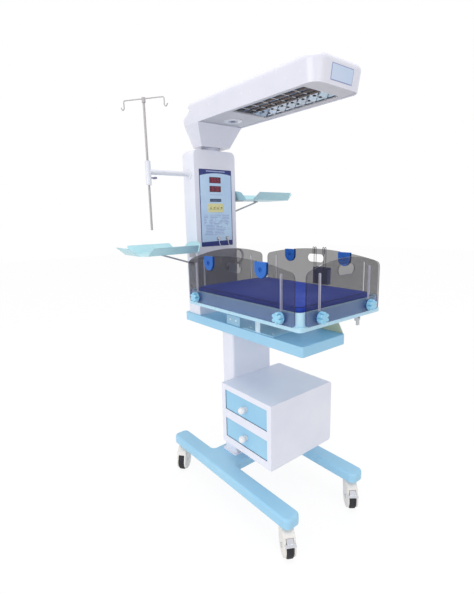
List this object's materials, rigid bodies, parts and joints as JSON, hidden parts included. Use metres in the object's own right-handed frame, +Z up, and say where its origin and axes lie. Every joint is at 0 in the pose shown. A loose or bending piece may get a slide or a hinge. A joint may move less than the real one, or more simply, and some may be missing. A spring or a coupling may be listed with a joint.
{
  "type": "infant radiant warmer",
  "caption": "Wheeled infant warmer with a tilting crib, clear slide-down panels, radiant heater head, side trays, drip pole and drawers",
  "frame": {"origin": "middle of the object's box, on the floor", "axes": "+X to the right seen from the foot end, +Y towards the column at the head end, +Z up"},
  "size_m": [0.996, 0.9704, 1.829],
  "materials": {
    "light_blue_paint": "satin powder coat, light sky blue",
    "white_paint": "satin powder coat, cool white",
    "white_shell": "moulded shell, semi gloss cool white",
    "cyan_sheet": "satin powder coat, pale cyan",
    "crib_plastic": "moulded, light blue",
    "smoke_acrylic": "clear smoky grey sheet, polished edges",
    "blue_silicone": "soft, satin blue",
    "knob_plastic": "light blue grip on a dark blue disc",
    "mattress_cover": "coated cloth over foam, royal blue",
    "steel": "bright, lightly brushed",
    "chrome": "polished",
    "tyre_rubber": "black tread, grey core",
    "white_plastic": "moulded, warm white",
    "grey_plastic": "moulded, light grey",
    "overlay_film": "printed film, pale blue with navy bands",
    "electronics": "display modules on a board",
    "reflector_sheet": "polished",
    "heater_ceramic": "ceramic cased rods",
    "cable_jacket": "white jacket"
  },
  "bodies": {
    "stand": {"base_frame": "light_blue_paint", "pedestal_column": "white_paint", "drawer_cabinet": "white_paint", "shelf_platform": "light_blue_paint", "tilt_stand": "light_blue_paint", "column_housing": "white_paint", "column_back_cover": "white_paint", "control_overlay": "overlay_film", "control_board": "electronics", "probe_sockets": "grey_plastic", "iv_arm": "white_paint", "tray_left": "cyan_sheet", "tray_right": "cyan_sheet", "tray_struts": "steel", "probe_cable_left": "cable_jacket", "probe_coil_left": "cable_jacket", "probe_sensor_left": "cable_jacket", "probe_cable_right": "cable_jacket", "probe_coil_right": "cable_jacket", "probe_sensor_right": "cable_jacket"},
    "head": {"neck_housing": "white_shell", "head_cover": "white_shell", "head_under_panel": "white_paint", "reflector": "reflector_sheet", "heater_rods": "heater_ceramic", "guard_grille": "steel", "exam_lamp": "white_plastic"},
    "crib": {"crib_tray": "crib_plastic", "mattress": "mattress_cover", "tilt_frame": "steel"},
    "side_panel_left": {"panel_left": "smoke_acrylic", "ports_left": "blue_silicone"},
    "side_panel_right": {"panel_right": "smoke_acrylic", "ports_right": "blue_silicone"},
    "foot_panel": {"panel_foot": "smoke_acrylic"},
    "head_panel": {"panel_head": "smoke_acrylic"},
    "lever": {"tilt_lever": "grey_plastic"},
    "drawer_top": {"drawer_upper": "light_blue_paint"},
    "drawer_bottom": {"drawer_lower": "light_blue_paint"},
    "pole": {"iv_pole": "steel"},
    "hook_bar": {"iv_hook_bar": "steel"},
    "pole_clamp": {"iv_clamp_knob": "grey_plastic"},
    "caster_front_left": {"caster_hood_front_left": "white_plastic"},
    "wheel_front_left": {"caster_wheel_front_left": "tyre_rubber"},
    "pedal_front_left": {"brake_pedal_front_left": "chrome"},
    "caster_front_right": {"caster_hood_front_right": "white_plastic"},
    "wheel_front_right": {"caster_wheel_front_right": "tyre_rubber"},
    "pedal_front_right": {"brake_pedal_front_right": "chrome"},
    "caster_rear_left": {"caster_hood_rear_left": "white_plastic"},
    "wheel_rear_left": {"caster_wheel_rear_left": "tyre_rubber"},
    "caster_rear_right": {"caster_hood_rear_right": "white_plastic"},
    "wheel_rear_right": {"caster_wheel_rear_right": "tyre_rubber"},
    "grip_left_foot": {"knob_left_foot": "knob_plastic"},
    "grip_foot_left": {"knob_foot_left": "knob_plastic"},
    "grip_left_head": {"knob_left_head": "knob_plastic"},
    "grip_head_left": {"knob_head_left": "knob_plastic"},
    "grip_right_foot": {"knob_right_foot": "knob_plastic"},
    "grip_foot_right": {"knob_foot_right": "knob_plastic"},
    "grip_right_head": {"knob_right_head": "knob_plastic"},
    "grip_head_right": {"knob_head_right": "knob_plastic"}
  },
  "joints": [
    {"name": "swivel_front_left", "type": "hinge", "parent": "stand", "child": "caster_front_left", "pos_m": [-0.209, -0.35685, 0.128], "axis": [0, 0, 1], "continuous": true},
    {"name": "roll_front_left", "type": "hinge", "parent": "caster_front_left", "child": "wheel_front_left", "pos_m": [-0.224, -0.38283, 0.05], "axis": [0.866, -0.5, 0], "continuous": true},
    {"name": "brake_front_left", "type": "hinge", "parent": "caster_front_left", "child": "pedal_front_left", "pos_m": [-0.235, -0.40188, 0.103], "axis": [0.866, -0.5, 0], "range_deg": [0, 6]},
    {"name": "swivel_front_right", "type": "hinge", "parent": "stand", "child": "caster_front_right", "pos_m": [0.209, -0.35685, 0.128], "axis": [0, 0, 1], "continuous": true},
    {"name": "roll_front_right", "type": "hinge", "parent": "caster_front_right", "child": "wheel_front_right", "pos_m": [0.18972, -0.37983, 0.05], "axis": [0.766, -0.6428, 0], "continuous": true},
    {"name": "brake_front_right", "type": "hinge", "parent": "caster_front_right", "child": "pedal_front_right", "pos_m": [0.17558, -0.39668, 0.103], "axis": [0.766, -0.6428, 0], "range_deg": [0, 6]},
    {"name": "swivel_rear_left", "type": "hinge", "parent": "stand", "child": "caster_rear_left", "pos_m": [-0.209, 0.39515, 0.128], "axis": [0, 0, 1], "continuous": true},
    {"name": "roll_rear_left", "type": "hinge", "parent": "caster_rear_left", "child": "wheel_rear_left", "pos_m": [-0.23264, 0.37668, 0.05], "axis": [0.6157, -0.788, 0], "continuous": true},
    {"name": "swivel_rear_right", "type": "hinge", "parent": "stand", "child": "caster_rear_right", "pos_m": [0.209, 0.39515, 0.128], "axis": [0, 0, 1], "continuous": true},
    {"name": "roll_rear_right", "type": "hinge", "parent": "caster_rear_right", "child": "wheel_rear_right", "pos_m": [0.194, 0.42113, 0.05], "axis": [-0.866, -0.5, 0], "continuous": true},
    {"name": "head_swivel", "type": "hinge", "parent": "stand", "child": "head", "pos_m": [0, 0.36015, 1.643], "axis": [0, 0, 1], "range_deg": [-40, 90]},
    {"name": "crib_tilt", "type": "hinge", "parent": "stand", "child": "crib", "pos_m": [0, -0.10785, 0.893], "axis": [1, 0, 0], "range_deg": [-10, 10]},
    {"name": "slide_panel_left", "type": "slide", "parent": "crib", "child": "side_panel_left", "axis": [0, 0, -1], "range_m": [0, 0.12]},
    {"name": "slide_panel_right", "type": "slide", "parent": "crib", "child": "side_panel_right", "axis": [0, 0, -1], "range_m": [0, 0.12]},
    {"name": "slide_panel_foot", "type": "slide", "parent": "crib", "child": "foot_panel", "axis": [0, 0, -1], "range_m": [0, 0.12]},
    {"name": "slide_panel_head", "type": "slide", "parent": "crib", "child": "head_panel", "axis": [0, 0, -1], "range_m": [0, 0.1]},
    {"name": "turn_knob_left_foot", "type": "hinge", "parent": "crib", "child": "grip_left_foot", "pos_m": [-0.246, -0.36985, 0.967], "axis": [-1, 0, 0], "range_deg": [0, 180]},
    {"name": "turn_knob_foot_left", "type": "hinge", "parent": "crib", "child": "grip_foot_left", "pos_m": [-0.146, -0.45985, 0.967], "axis": [0, -1, 0], "range_deg": [0, 180]},
    {"name": "turn_knob_left_head", "type": "hinge", "parent": "crib", "child": "grip_left_head", "pos_m": [-0.246, 0.15415, 0.967], "axis": [-1, 0, 0], "range_deg": [0, 180]},
    {"name": "turn_knob_head_left", "type": "hinge", "parent": "crib", "child": "grip_head_left", "pos_m": [-0.146, 0.24415, 0.967], "axis": [0, 1, 0], "range_deg": [0, 180]},
    {"name": "turn_knob_right_foot", "type": "hinge", "parent": "crib", "child": "grip_right_foot", "pos_m": [0.246, -0.36985, 0.967], "axis": [1, 0, 0], "range_deg": [0, 180]},
    {"name": "turn_knob_foot_right", "type": "hinge", "parent": "crib", "child": "grip_foot_right", "pos_m": [0.146, -0.45985, 0.967], "axis": [0, -1, 0], "range_deg": [0, 180]},
    {"name": "turn_knob_right_head", "type": "hinge", "parent": "crib", "child": "grip_right_head", "pos_m": [0.246, 0.15415, 0.967], "axis": [1, 0, 0], "range_deg": [0, 180]},
    {"name": "turn_knob_head_right", "type": "hinge", "parent": "crib", "child": "grip_head_right", "pos_m": [0.146, 0.24415, 0.967], "axis": [0, 1, 0], "range_deg": [0, 180]},
    {"name": "lever_pull", "type": "hinge", "parent": "crib", "child": "lever", "pos_m": [0.101, -0.44185, 0.913], "axis": [1, 0, 0], "range_deg": [0, 25]},
    {"name": "slide_drawer_upper", "type": "slide", "parent": "stand", "child": "drawer_top", "axis": [-1, 0, 0], "range_m": [0, 0.24]},
    {"name": "slide_drawer_lower", "type": "slide", "parent": "stand", "child": "drawer_bottom", "axis": [-1, 0, 0], "range_m": [0, 0.24]},
    {"name": "pole_height", "type": "slide", "parent": "stand", "child": "pole", "axis": [0, 0, 1], "range_m": [-0.09, 0.12]},
    {"name": "hook_turn", "type": "hinge", "parent": "pole", "child": "hook_bar", "pos_m": [-0.336, 0.37315, 1.816], "axis": [0, 0, 1], "range_deg": [-180, 180]},
    {"name": "clamp_turn", "type": "hinge", "parent": "stand", "child": "pole_clamp", "pos_m": [-0.3235, 0.37315, 1.493], "axis": [1, 0, 0], "range_deg": [0, 180]}
  ]
}
